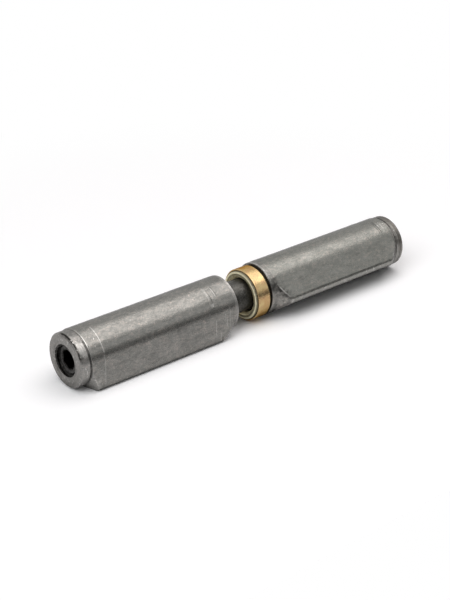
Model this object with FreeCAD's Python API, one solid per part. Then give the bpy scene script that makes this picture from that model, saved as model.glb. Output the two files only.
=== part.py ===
import FreeCAD, Part
import math
import os

# A two-part weld-on gate hinge with a thrust bearing, lying on its flank and pulled a little apart.
# It is built about the hinge axis, which is X. The lower barrel starts at x = 0 and runs towards +X, and the
# bearing and then the upper barrel lie on the -X side. At the end each piece is moved, so that the origin is
# at the centre of the base. Sizes are in millimetres. Angles are in degrees about X, from +Y towards +Z.

# The pin, pressed into the lower barrel and running in the upper one
pin_radius = 6.0
pin_seat_depth = 42.0
pin_reach = 53.0
pin_tip_chamfer = 1.0
pin_foot_chamfer = 0.5
pin_running_clearance = 0.05
pin_end_clearance = 2.0
pin_bore_lead_in = 0.5

# The drawn bar that both barrels are cut from: a round with one rounded corner, whose flats are tangent to it
barrel_wall = 4.0
corner_rounding = 2.1

# Both barrels
barrel_length = 66.5
spigot_length = 4.0
spigot_undercut = 0.3
spigot_chamfer = 0.4
rim_chamfer = 0.3
skim_cut = 0.05

# Where the lathe takes the corner off at each end: the round collar, the run of the cone behind it, and how
# deep the tool's round nose leaves the cone hollow
upper_outer_cone = 2.2
upper_inner_collar = 1.2
upper_inner_cone = 5.2
lower_outer_cone = 5.2
lower_inner_collar = 2.4
lower_inner_cone = 4.1
cone_hollow = 0.15

# How the two corners point as the hinge lies: the upper barrel is flat on the ground
upper_corner_angle = 225.0
lower_corner_angle = 188.0

# The set screw, as wide over its thread as the pin, and drawn plain between the thread's crest and root
screw_thread_allowance = 0.4
screw_length = 12.0
screw_recess = 1.1
screw_face_chamfer = 0.7
screw_point_chamfer = 1.0
screw_clearance = 0.05
screw_mouth_chamfer = 0.15
socket_across_flats = 6.0
socket_depth = 5.0
socket_drill_depth = 0.8
socket_countersink = 0.15
socket_angle = 30.0

# The thrust bearing: two washers and a cage of balls, held together by a band with a lip at each end
bearing_height = 7.0
band_undercut = 0.35
band_wall = 0.4
band_rounding = 0.3
band_inset_upper = 0.7
band_inset_lower = 1.0
lip_depth = 0.25
lip_clearance = 0.1
washer_rounding = 0.25
washer_bore_chamfer = 0.9
washer_fit = 0.02
washer_running_clearance = 0.1
ball_count = 14
raceway_share = 0.35
raceway_clearance = 0.02
cage_wall = 0.26
cage_face_clearance = 0.22
cage_side_clearance = 0.1
cage_pocket_clearance = 0.03

# How the pieces lie: the hinge is pulled apart, and the loose bearing has dropped almost to the ground
open_gap = 8.8
seat_gap = 0.02
bearing_ground_gap = 0.03
bearing_bore_clearance = 0.15

# Worked out from the sizes above
bar_radius = pin_radius + barrel_wall
spigot_radius = bar_radius - spigot_undercut
corner_reach = bar_radius * math.sqrt(2) - corner_rounding * (math.sqrt(2) - 1)
pin_bore_depth = pin_reach - bearing_height - seat_gap + pin_end_clearance
screw_radius = pin_radius - screw_thread_allowance
screw_face_radius = screw_radius - screw_face_chamfer
band_radius = bar_radius - band_undercut
band_inner_radius = band_radius - band_wall
lip_radius = band_inner_radius - lip_depth
bearing_drop = band_undercut - bearing_ground_gap
washer_bore = pin_radius + bearing_drop + bearing_bore_clearance
ball_pitch_radius = (washer_bore + band_inner_radius) / 2
cage_radial_room = band_inner_radius - washer_bore - 2 * cage_side_clearance
ball_radius = cage_radial_room / 2 - cage_wall - cage_pocket_clearance
washer_spacing = 2 * ball_radius * (1 - raceway_share) + 2 * raceway_clearance
washer_thickness = (bearing_height - washer_spacing) / 2
cage_thickness = washer_spacing - 2 * cage_face_clearance
bearing_start = -seat_gap - bearing_height
upper_barrel_end = bearing_start - open_gap
upper_barrel_start = upper_barrel_end - barrel_length

X_AXIS = FreeCAD.Vector(1, 0, 0)
ORIGIN = FreeCAD.Vector(0, 0, 0)


def across(angle, radius, x=0.0):
    """The point at this angle about the hinge axis and this distance from it."""
    turn = math.radians(angle)
    return FreeCAD.Vector(x, radius * math.cos(turn), radius * math.sin(turn))


def rounded_outline(corners):
    """A closed wire in the XZ plane through (x, r, rounding, hollow) corners.

    Each corner with a rounding gets an arc, and the side after a corner dips by its hollow towards the axis.
    """
    points = [FreeCAD.Vector(x, 0, r) for x, r, rounding, hollow in corners]
    stretches = []
    for i, (x, r, rounding, hollow) in enumerate(corners):
        here = points[i]
        if rounding == 0:
            stretches.append((here, None, here))
            continue
        back = (points[i - 1] - here).normalize()
        ahead = (points[(i + 1) % len(points)] - here).normalize()
        half = back.getAngle(ahead) / 2
        middle = (back + ahead).normalize()
        tangent = rounding / math.tan(half)
        crest = here + middle * (rounding / math.sin(half) - rounding)
        stretches.append((here + back * tangent, crest, here + ahead * tangent))
    edges = []
    for i, (start, crest, end) in enumerate(stretches):
        if crest is not None:
            edges.append(Part.Arc(start, crest, end).toShape())
        following = stretches[(i + 1) % len(stretches)][0]
        hollow = corners[i][3]
        if hollow == 0:
            edges.append(Part.LineSegment(end, following).toShape())
            continue
        run = following - end
        towards_axis = FreeCAD.Vector(run.z, 0, -run.x).normalize()
        if towards_axis.z > 0:
            towards_axis = -towards_axis
        edges.append(Part.Arc(end, end + run * 0.5 + towards_axis * hollow, following).toShape())
    return Part.Wire(edges)


def turned(corners):
    """The solid turned about the hinge axis from (x, r) corners, with a rounding and a hollow where given."""
    full = [tuple(corner) + (0,) * (4 - len(corner)) for corner in corners]
    return Part.Face(rounded_outline(full)).revolve(ORIGIN, X_AXIS, 360)


def rod(start, end, radius):
    """A plain round rod along the hinge axis."""
    return Part.makeCylinder(radius, end - start, FreeCAD.Vector(start, 0, 0), X_AXIS)


def drop_bar(start, length, corner_angle):
    """A length of the drawn bar, with its corner pointing at this angle."""
    side = 45
    first_tangent = across(corner_angle - side, bar_radius, start)
    last_tangent = across(corner_angle + side, bar_radius, start)
    far_side = across(corner_angle + 180, bar_radius, start)
    rounding_centre = across(corner_angle, (bar_radius - corner_rounding) * math.sqrt(2), start)
    first_rounding = rounding_centre + across(corner_angle - side, corner_rounding)
    last_rounding = rounding_centre + across(corner_angle + side, corner_rounding)
    crest = across(corner_angle, corner_reach, start)
    edges = [
        Part.Arc(last_tangent, far_side, first_tangent).toShape(),
        Part.LineSegment(first_tangent, first_rounding).toShape(),
        Part.Arc(first_rounding, crest, last_rounding).toShape(),
        Part.LineSegment(last_rounding, last_tangent).toShape(),
    ]
    return Part.Face(Part.Wire(edges)).extrude(X_AXIS * length)


def lathe_envelope(outer_end, inwards, outer_cone, inner_collar, inner_cone):
    """What the lathe leaves of a barrel. The outer end is at outer_end, and inwards is +1 or -1 along X."""
    collar_radius = bar_radius - skim_cut
    clear_radius = corner_reach + 1
    past_corner = (clear_radius - collar_radius) / (corner_reach - collar_radius)
    profile = [
        (0, 0),
        (0, spigot_radius - spigot_chamfer),
        (spigot_chamfer, spigot_radius),
        (spigot_length, spigot_radius),
        (spigot_length, collar_radius, 0, cone_hollow),
        (spigot_length + outer_cone * past_corner, clear_radius),
        (barrel_length - inner_collar - inner_cone * past_corner, clear_radius, 0, cone_hollow),
        (barrel_length - inner_collar, collar_radius),
        (barrel_length - rim_chamfer, collar_radius),
        (barrel_length, collar_radius - rim_chamfer),
        (barrel_length, 0),
    ]
    return turned([(outer_end + inwards * corner[0],) + corner[1:] for corner in profile])


def make_upper_barrel():
    """The barrel that goes on the gate, bored for the pin from its inner end and tapped from the other."""
    bar = drop_bar(upper_barrel_start, barrel_length, upper_corner_angle)
    envelope = lathe_envelope(upper_barrel_start, 1, upper_outer_cone, upper_inner_collar, upper_inner_cone)
    bore_radius = pin_radius + pin_running_clearance
    tapped_radius = screw_radius + screw_clearance
    bore_end = upper_barrel_end - pin_bore_depth
    holes = turned([
        (upper_barrel_start, 0),
        (upper_barrel_start, tapped_radius + screw_mouth_chamfer),
        (upper_barrel_start + screw_mouth_chamfer, tapped_radius),
        (bore_end, tapped_radius),
        (bore_end, bore_radius),
        (upper_barrel_end - pin_bore_lead_in, bore_radius),
        (upper_barrel_end, bore_radius + pin_bore_lead_in),
        (upper_barrel_end, 0),
    ])
    return bar.common(envelope).cut(holes)


def make_lower_barrel():
    """The barrel that goes on the post, with a blind seat for the pin."""
    bar = drop_bar(0, barrel_length, lower_corner_angle)
    envelope = lathe_envelope(barrel_length, -1, lower_outer_cone, lower_inner_collar, lower_inner_cone)
    return bar.common(envelope).cut(rod(0, pin_seat_depth, pin_radius))


def make_pin():
    """The pin, from the bottom of its seat in the lower barrel to its tip in the upper one."""
    return turned([
        (pin_seat_depth, 0),
        (pin_seat_depth, pin_radius - pin_foot_chamfer),
        (pin_seat_depth - pin_foot_chamfer, pin_radius),
        (pin_tip_chamfer - pin_reach, pin_radius),
        (-pin_reach, pin_radius - pin_tip_chamfer),
        (-pin_reach, 0),
    ])


def hexagon_socket(face):
    """The space in the set screw's face: a hexagon with a drilled bottom and a lightly countersunk mouth."""
    corner_distance = socket_across_flats / math.sqrt(3)
    corners = [across(socket_angle + 60 * i, corner_distance, face) for i in range(7)]
    hexagon = Part.Face(Part.makePolygon(corners)).extrude(X_AXIS * socket_depth)
    bottom = face + socket_depth
    drill_point = turned([
        (face, 0),
        (face, socket_across_flats / 2),
        (bottom, socket_across_flats / 2),
        (bottom + socket_drill_depth, 0),
    ])
    mouth_radius = corner_distance + socket_countersink
    countersink = turned([(face, 0), (face, mouth_radius), (face + mouth_radius / math.sqrt(3), 0)])
    return hexagon.fuse(drill_point).fuse(countersink)


def make_set_screw():
    """The set screw, a little below the outer end of the upper barrel."""
    face = upper_barrel_start + screw_recess
    point = face + screw_length
    body = turned([
        (face, 0),
        (face, screw_face_radius),
        (face + screw_face_chamfer, screw_radius),
        (point - screw_point_chamfer, screw_radius),
        (point, screw_radius - screw_point_chamfer),
        (point, 0),
    ])
    return body.cut(hexagon_socket(face))


def dropped(shape):
    """A piece of the bearing, let down on the pin from the hinge axis to where it lies."""
    moved = shape.copy()
    moved.translate(FreeCAD.Vector(0, 0, -bearing_drop))
    return moved


def make_bearing_band():
    """The band with its two inward lips."""
    start = bearing_start + band_inset_upper
    end = bearing_start + bearing_height - band_inset_lower
    return dropped(turned([
        (start, lip_radius),
        (start, band_radius, band_rounding),
        (end, band_radius, band_rounding),
        (end, lip_radius),
        (end - band_wall, lip_radius),
        (end - band_wall, band_inner_radius),
        (start + band_wall, band_inner_radius),
        (start + band_wall, lip_radius),
    ]))


def raceway():
    """The ring-shaped space that the balls run in."""
    middle = FreeCAD.Vector(bearing_start + bearing_height / 2, 0, 0)
    return Part.makeTorus(ball_pitch_radius, ball_radius + raceway_clearance, middle, X_AXIS)


def bearing_washer(face, inwards, shoulder, rim_radius):
    """One stepped washer, its bore chamfered at face, and its rim starting at shoulder behind the band's lip."""
    boss_radius = lip_radius - lip_clearance
    profile = [
        (washer_bore_chamfer, washer_bore),
        (0, washer_bore + washer_bore_chamfer),
        (0, boss_radius, washer_rounding),
        (shoulder, boss_radius),
        (shoulder, rim_radius),
        (washer_thickness, rim_radius),
        (washer_thickness, washer_bore),
    ]
    corners = [(face + inwards * corner[0],) + corner[1:] for corner in profile]
    return dropped(turned(corners).cut(raceway()))


def make_upper_washer():
    """The washer that the upper barrel runs onto, held still in the band."""
    shoulder = band_inset_upper + band_wall + washer_fit
    return bearing_washer(bearing_start, 1, shoulder, band_inner_radius - washer_fit)


def make_lower_washer():
    """The washer that lies against the lower barrel and turns with it."""
    shoulder = band_inset_lower + band_wall + washer_running_clearance
    rim_radius = band_inner_radius - washer_running_clearance
    return bearing_washer(bearing_start + bearing_height, -1, shoulder, rim_radius)


def ball_centre(index):
    """The centre of one ball on the raceway's pitch circle."""
    return across(360 * index / ball_count, ball_pitch_radius, bearing_start + bearing_height / 2)


def make_ball_cage():
    """The flat cage that keeps the balls apart."""
    start = bearing_start + bearing_height / 2 - cage_thickness / 2
    end = start + cage_thickness
    outside = rod(start, end, band_inner_radius - cage_side_clearance)
    cage = outside.cut(rod(start, end, washer_bore + cage_side_clearance))
    for index in range(ball_count):
        pocket_start = ball_centre(index) - X_AXIS * cage_thickness
        pocket = Part.makeCylinder(
            ball_radius + cage_pocket_clearance, 2 * cage_thickness, pocket_start, X_AXIS)
        cage = cage.cut(pocket)
    return dropped(cage)


def make_ball(index):
    """One ball in its pocket."""
    return dropped(Part.makeSphere(ball_radius, ball_centre(index)))


def base_centre():
    """The point under the middle of the whole hinge, as it is built, that becomes the origin."""
    rounding_centre = across(lower_corner_angle, (bar_radius - corner_rounding) * math.sqrt(2))
    lowest_y = rounding_centre.y - corner_rounding
    middle_x = (upper_barrel_start + barrel_length) / 2
    return FreeCAD.Vector(middle_x, (lowest_y + bar_radius) / 2, -bar_radius)


def main():
    nodes = {
        "upper_barrel": make_upper_barrel(),
        "set_screw": make_set_screw(),
        "lower_barrel": make_lower_barrel(),
        "pin": make_pin(),
        "bearing_band": make_bearing_band(),
        "upper_washer": make_upper_washer(),
        "lower_washer": make_lower_washer(),
        "ball_cage": make_ball_cage(),
    }
    for index in range(ball_count):
        nodes[f"ball_{index + 1:02d}"] = make_ball(index)
    os.makedirs("parts", exist_ok=True)
    for name, shape in nodes.items():
        shape.translate(-base_centre())
        shape.exportStep(f"parts/{name}.step")


main()
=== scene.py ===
import math

import bmesh
import bpy
import numpy as np
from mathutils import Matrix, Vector


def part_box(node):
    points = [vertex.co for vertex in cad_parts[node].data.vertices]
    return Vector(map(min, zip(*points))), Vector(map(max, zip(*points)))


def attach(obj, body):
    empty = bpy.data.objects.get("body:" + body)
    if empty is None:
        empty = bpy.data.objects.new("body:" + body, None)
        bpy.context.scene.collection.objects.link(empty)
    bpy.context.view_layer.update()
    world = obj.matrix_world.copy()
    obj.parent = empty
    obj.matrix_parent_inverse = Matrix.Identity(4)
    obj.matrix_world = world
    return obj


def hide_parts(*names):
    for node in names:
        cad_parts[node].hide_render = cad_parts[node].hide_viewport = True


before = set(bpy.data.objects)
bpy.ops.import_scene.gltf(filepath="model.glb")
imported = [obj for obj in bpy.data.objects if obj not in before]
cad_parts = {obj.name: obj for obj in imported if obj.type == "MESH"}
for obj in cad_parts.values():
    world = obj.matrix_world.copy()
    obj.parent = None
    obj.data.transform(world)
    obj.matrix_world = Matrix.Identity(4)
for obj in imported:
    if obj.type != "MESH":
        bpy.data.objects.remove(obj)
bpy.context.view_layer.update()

# Lengths here are in millimetres and angles in degrees about X, from +Y towards +Z, unless a comment says
# otherwise. Blender gets metres.
MM = 0.001


def box_mm(node):
    """The lowest and highest corner of a piece of the frame, in millimetres."""
    return [np.array(corner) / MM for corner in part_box(node)]


# Places, read from the frame
UPPER_BOX = box_mm("upper_barrel")
LOWER_BOX = box_mm("lower_barrel")
PIN_BOX = box_mm("pin")
SCREW_BOX = box_mm("set_screw")
HINGE_AXIS = (PIN_BOX[0] + PIN_BOX[1]) / 2
BEARING_AXIS = sum(box_mm("bearing_band")) / 2
BARREL_LENGTH = LOWER_BOX[1][0] - LOWER_BOX[0][0]
PIN_RADIUS = (PIN_BOX[1][2] - PIN_BOX[0][2]) / 2

# The drop-section bar and what the lathe leaves of it, as the frame has them. The bar's corner is rounded as
# far as CORNER_BEND from its middle, and a flank goes on from there to FLANK_END.
BAR_RADIUS = 10.0
CORNER_ROUNDING = 2.1
CORNER_REACH = BAR_RADIUS * math.sqrt(2) - CORNER_ROUNDING * (math.sqrt(2) - 1)
CORNER_BEND = math.degrees(math.atan2(CORNER_ROUNDING / 2, BAR_RADIUS - CORNER_ROUNDING / 2))
FLANK_END = 45
SKIM = 0.05
SPIGOT_LENGTH = 4.0
SPIGOT_RADIUS = 9.7
SPIGOT_CHAMFER = 0.4
RIM_CHAMFER = 0.3
CONE_HOLLOW = 0.15
PIN_BORE_RADIUS = PIN_RADIUS + 0.05
PIN_BORE_DEPTH = 48.0 - 0.02
PIN_SEAT_DEPTH = 42.0
BORE_LEAD_IN = 0.5
PIN_TIP_CHAMFER = 1.0
PIN_FOOT_CHAMFER = 0.5

# Small forms that the frame leaves out: softened edges, a groove and a rounded step at the spigot's foot, and
# how far the drawn surface waves and lies back
EDGE_SOFTNESS = 0.12
PIN_SOFTNESS = 0.04
GROOVE_DEPTH = 0.05
GROOVE_WIDTH = 0.42
GROOVE_SLOPE = 0.12
STEP_BACK = 0.02
STEP_FRONT = 0.03
STEP_ROUNDING = 0.05
STEP_DROP = 0.04
DRAWN_WAVE = 0.010
DRAWN_WAVELENGTH = 9.0
DRAWN_BACK = 0.008

# The M12 thread: its pitch, how much of it the flat crest and the flank take, and its rings for each turn
PITCH = 1.75
THREAD_FLAT = 0.14
THREAD_FLANK = 0.64
THREAD_STEPS = 9

# The tapped hole, whose mouth is worn wider around one angle
HOLE_CREST = 5.14
HOLE_ROOT = 6.0
HOLE_MOUTH = 5.75
HOLE_MOUTH_RUN = 0.12
HOLE_MOUTH_WORN = 0.35
HOLE_WORN_AT = (335, 100)

# The set screw and its hexagon socket
SCREW_CREST = 5.92
SCREW_ROOT = 5.05
SCREW_FACE_RADIUS = 4.8
SCREW_FACE_CHAMFER = 0.7
SCREW_POINT_RADIUS = 4.6
SCREW_POINT_CHAMFER = 1.0
SOCKET_FLATS = 6.0
SOCKET_MOUTH = SOCKET_FLATS / math.sqrt(3) + 0.15
SOCKET_LIP = 0.35
SOCKET_DEPTH = 5.0
SOCKET_DRILL = 0.8
SOCKET_TURN = 30.0

# How finely the meshes are made: the columns over a barrel's rounded corner, along a flank and round its
# back, the angle between columns on the screw and the pin, and the spacing of rings where a barrel is plain
CORNER_COLUMNS = 31
FLANK_COLUMNS = 54
BACK_COLUMNS = 140
ROUND_STEP = 3.0
PLAIN_SPACING = 1.1
SHORTEST_SPACING = 0.01

# The rings of the flat ends, and two more in the bore, from its inner end and from its mouth
UPPER_END_RINGS = 33
LOWER_END_RINGS = 14
INNER_END_RINGS = 7
BORE_RINGS = (0.3, 20)

# The rings along the pin, how far from its tip and its foot they keep, and the radius of one in its end faces
PIN_RINGS = 60
PIN_ENDS = (1.3, 0.6)
PIN_FACE_RING = 2.5

# How near points are welded, the shortest edge that stays, and the angle from which an edge is sharp
WELD_DISTANCE = 0.002
SHORTEST_EDGE = 0.0005
SHARP_ANGLE = 32.0

# The waves that waves() adds up, and how far their rates vary
OCTAVES = 3
OCTAVE_SHARE = 0.55
WAVES_IN_OCTAVE = 7
RATE_SPREAD = (0.7, 1.4)

# How a mark fades across its line and at its ends, in shares of its width and half its stretch, and the
# wavelength at which it is broken up
MARK_SIDES = (0.2, 0.75)
MARK_ENDS = (0.8, 1.1)
MARK_GRAIN = 1.1


def waves(points, wavelength, seed):
    """Smooth noise between about -1 and 1 at these places, from a fixed set of waves."""
    draws = np.random.default_rng(seed)
    total = np.zeros(points.shape[:-1])
    weight = 0.0
    for octave in range(OCTAVES):
        share = OCTAVE_SHARE ** octave
        for _ in range(WAVES_IN_OCTAVE):
            direction = draws.normal(size=3)
            direction /= np.linalg.norm(direction)
            rate = 2 * math.pi / wavelength * 2 ** octave * draws.uniform(*RATE_SPREAD)
            total += share * np.sin(points @ direction * rate + draws.uniform(0, 2 * math.pi))
        weight += share
    return total / (weight * WAVES_IN_OCTAVE ** 0.5)


def smooth_step(value, low, high):
    """From 0 up to low to 1 from high on."""
    t = np.clip((value - low) / (high - low), 0, 1)
    return t * t * (3 - 2 * t)


def bell(value, middle, width):
    """From 1 at the middle to almost 0 at twice the width from it."""
    return np.exp(-((value - middle) / width) ** 2)


def off_turn(turns, middle):
    """How far these angles are from the middle one, between -180 and 180."""
    return (turns - middle + 180) % 360 - 180


def near_turn(turns, middle, reach):
    """From 1 at the middle angle to 0 at this reach from it."""
    return 1 - smooth_step(np.abs(off_turn(turns, middle)), 0, reach)


def path_length(x, radius):
    """How long the way through these points is, up to each of them."""
    return np.concatenate([[0], np.cumsum(np.hypot(np.diff(x), np.diff(radius)))])


class Skin:
    """A mesh sewn together from patches of rings about the X axis, with masks for its material."""

    MASKS = ("lathe", "edge", "bright", "nicks", "dark", "pits", "rust", "travel")

    def __init__(self, axis):
        self.axis = axis
        self.points = []
        self.faces = []
        self.masks = {name: [] for name in self.MASKS}
        self.count = 0

    def patch(self, x, radius, turns, climb=0, **masks):
        """Adds a grid of points. x and radius have one row for each ring and one column for each turn.

        The last column is sewn to the first one, this climb of rings further on.
        """
        x, radius, turns = np.broadcast_arrays(x, radius, np.radians(turns)[None, :])
        y = self.axis[1] + radius * np.cos(turns)
        z = self.axis[2] + radius * np.sin(turns)
        self.points.append(np.stack([x, y, z], -1).reshape(-1, 3) * MM)
        for name in self.MASKS:
            self.masks[name].append(np.broadcast_to(masks.get(name, 0.0), x.shape).ravel())
        rings, columns = x.shape
        index = np.arange(rings * columns).reshape(rings, columns) + self.count
        quads = np.stack([index[:-1, :-1], index[:-1, 1:], index[1:, 1:], index[1:, :-1]], -1)
        self.faces.append(quads.reshape(-1, 4))
        last = rings - climb - 1
        seam = np.stack([
            index[:last, -1],
            index[climb:climb + last, 0],
            index[climb + 1:climb + 1 + last, 0],
            index[1:last + 1, -1],
        ], -1)
        self.faces.append(seam)
        self.count += rings * columns

    def finished(self, name):
        """The sewn mesh as an object, smooth but for its sharp edges."""
        mesh = bpy.data.meshes.new(name)
        faces = np.concatenate(self.faces)
        mesh.from_pydata(np.concatenate(self.points).tolist(), [], faces.tolist())
        for mask, parts in self.masks.items():
            layer = mesh.attributes.new(mask, "FLOAT", "POINT")
            layer.data.foreach_set("value", np.concatenate(parts).astype(np.float32))
        work = bmesh.new()
        work.from_mesh(mesh)
        bmesh.ops.remove_doubles(work, verts=work.verts, dist=WELD_DISTANCE * MM)
        bmesh.ops.dissolve_degenerate(work, edges=work.edges, dist=SHORTEST_EDGE * MM)
        bmesh.ops.recalc_face_normals(work, faces=work.faces)
        work.to_mesh(mesh)
        work.free()
        mesh.polygons.foreach_set("use_smooth", [True] * len(mesh.polygons))
        mesh.set_sharp_from_angle(angle=math.radians(SHARP_ANGLE))
        piece = bpy.data.objects.new(name, mesh)
        bpy.context.collection.objects.link(piece)
        return piece


class Barrel:
    """One barrel of the hinge: where it lies, how its corner points, what the lathe took off and its wear.

    rim_worn is the middle and the reach of the angles at which its inner rim is rubbed. edge_wear_and_shade
    is how far the edge of its inner cone is rubbed bright, and how strong the painted shade on the cone below
    that edge is. fine lists stretches of closer rings as (start, end, spacing).
    """

    def __init__(self, outer_end, inwards, corner, outer_cone, inner_collar, inner_cone,
                 rim_worn, edge_wear_and_shade, marks, fine, seed):
        self.outer_end = outer_end
        self.inwards = inwards
        self.corner = corner
        self.outer_cone = outer_cone
        self.inner_collar = inner_collar
        self.inner_cone = inner_cone
        self.rim_worn = rim_worn
        self.edge_wear_and_shade = edge_wear_and_shade
        self.marks = marks
        self.fine = fine
        self.seed = seed

    def x(self, along):
        """The place on the X axis that lies this far along the barrel from its outer end."""
        return self.outer_end + self.inwards * along

    def turns(self):
        """The columns of the barrel's rings, closest at its corner."""
        corner = np.linspace(-CORNER_BEND, CORNER_BEND, CORNER_COLUMNS)
        flat = np.linspace(CORNER_BEND, FLANK_END, FLANK_COLUMNS)[1:]
        back = np.linspace(FLANK_END, 360 - FLANK_END, BACK_COLUMNS)[1:-1]
        return self.corner + np.concatenate([corner, flat, back, 360 - flat[::-1]])

    def section(self, turns):
        """How far the bar's surface is from its axis."""
        off = np.radians(off_turn(turns, self.corner))
        flat = BAR_RADIUS / np.cos(math.pi / 4 - np.minimum(np.abs(off), math.pi / 4))
        centre = (BAR_RADIUS - CORNER_ROUNDING) * math.sqrt(2)
        across = np.minimum(np.abs(centre * np.sin(off)), CORNER_ROUNDING)
        rounded = centre * np.cos(off) + np.sqrt(CORNER_ROUNDING ** 2 - across ** 2)
        return np.where(np.abs(off) < math.radians(CORNER_BEND), rounded, flat)

    def lathe(self, along):
        """How far the lathe's cut is from the axis, at these places from the outer end."""
        groove = SPIGOT_RADIUS - GROOVE_DEPTH
        collar = BAR_RADIUS - SKIM
        clear = CORNER_REACH + 1
        past = (clear - collar) / (CORNER_REACH - collar)
        cone_foot = BARREL_LENGTH - self.inner_collar
        outer_cone = SPIGOT_LENGTH + STEP_FRONT + STEP_ROUNDING, SPIGOT_LENGTH + self.outer_cone * past
        inner_cone = cone_foot - self.inner_cone * past, cone_foot
        profile = [
            (0, SPIGOT_RADIUS - SPIGOT_CHAMFER),
            (SPIGOT_CHAMFER, SPIGOT_RADIUS),
            (SPIGOT_LENGTH - GROOVE_WIDTH, SPIGOT_RADIUS),
            (SPIGOT_LENGTH - GROOVE_WIDTH + GROOVE_SLOPE, groove),
            (SPIGOT_LENGTH - STEP_BACK, groove),
            (SPIGOT_LENGTH + STEP_FRONT, collar - STEP_DROP),
            (outer_cone[0], collar),
            (outer_cone[1], clear),
            (inner_cone[0], clear),
            (inner_cone[1], collar),
            (BARREL_LENGTH - RIM_CHAMFER, collar),
            (BARREL_LENGTH, collar - RIM_CHAMFER),
        ]
        places, radii = np.transpose(profile)
        radius = np.interp(along, places, radii)
        for start, end in (outer_cone, inner_cone):
            share = np.clip((along - start) / (end - start), 0, 1)
            lean = math.cos(math.atan2(clear - collar, end - start))
            radius = radius - 4 * CONE_HOLLOW * share * (1 - share) / lean
        return radius

    def stations(self):
        """Places along the barrel for its rings."""
        places = [0.0]
        while places[-1] < BARREL_LENGTH:
            here = places[-1]
            inside = [spacing for start, end, spacing in self.fine if start - 1e-6 <= here < end - 1e-6]
            starts = [start for start, end, spacing in self.fine if start > here + 1e-6]
            step = min(inside + [PLAIN_SPACING])
            ahead = min(starts + [BARREL_LENGTH])
            places.append(max(min(here + step, ahead), here + SHORTEST_SPACING))
        return np.array(places[:-1] + [BARREL_LENGTH])


class Mark:
    """A line or patch on a barrel: its place along it, its width, and the stretch of angles it covers.

    lean is how far its ends lie off its place, ragged how much it is broken up, and tones are what it adds to
    the masks.
    """

    def __init__(self, along, width, start, end, depth=0.0, lean=0.0, ragged=0.4, **tones):
        self.along = along
        self.width = width
        self.start = start
        self.end = end
        self.depth = depth
        self.lean = lean
        self.ragged = ragged
        self.tones = tones

    def strength(self, along, turns, points, seed):
        """From 0 outside the mark to 1 in its middle, with an uneven edge."""
        off = off_turn(turns, (self.start + self.end) / 2)
        half = (self.end - self.start) / 2
        place = self.along + self.lean * off / half
        line = 1 - smooth_step(np.abs(along - place) / self.width, *MARK_SIDES)
        reach = 1 - smooth_step(np.abs(off) / half, *MARK_ENDS)
        broken = 1 - self.ragged * (0.5 + 0.5 * waves(points, MARK_GRAIN, seed))
        return line * reach * broken


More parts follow.
